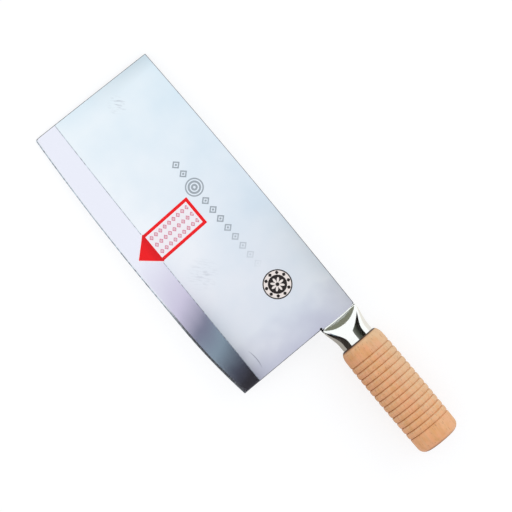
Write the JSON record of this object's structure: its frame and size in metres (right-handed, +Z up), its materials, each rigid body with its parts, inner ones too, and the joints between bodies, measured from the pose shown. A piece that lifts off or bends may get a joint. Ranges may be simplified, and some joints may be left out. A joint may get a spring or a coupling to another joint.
{
  "type": "bone cleaver",
  "caption": "Broad rectangular kitchen cleaver with a tapered steel blade, a wide polished bevel, a flared plated ferrule and a turned wooden handle with ring grooves.",
  "frame": {"origin": "middle of the bottom of the bounding box, with the cleaver lying on a table on its nose and its handle", "axes": "+X from the nose to the butt, +Y from the edge to the spine, +Z up, out of the cheek with the label"},
  "size_m": [0.319, 0.0986, 0.0345],
  "materials": {
    "blade_steel": "satin ground cheeks, polished bevel",
    "rod_steel": "plain, dull",
    "plated_steel": "bright plated",
    "turned_wood": "turned, sanded, unvarnished",
    "label_paper": "printed paper, low sheen"
  },
  "bodies": {
    "root": {"blade": "blade_steel", "tang": "rod_steel", "ferrule": "plated_steel", "handle": "turned_wood", "butt_washer": "rod_steel", "label": "label_paper"}
  },
  "joints": []
}
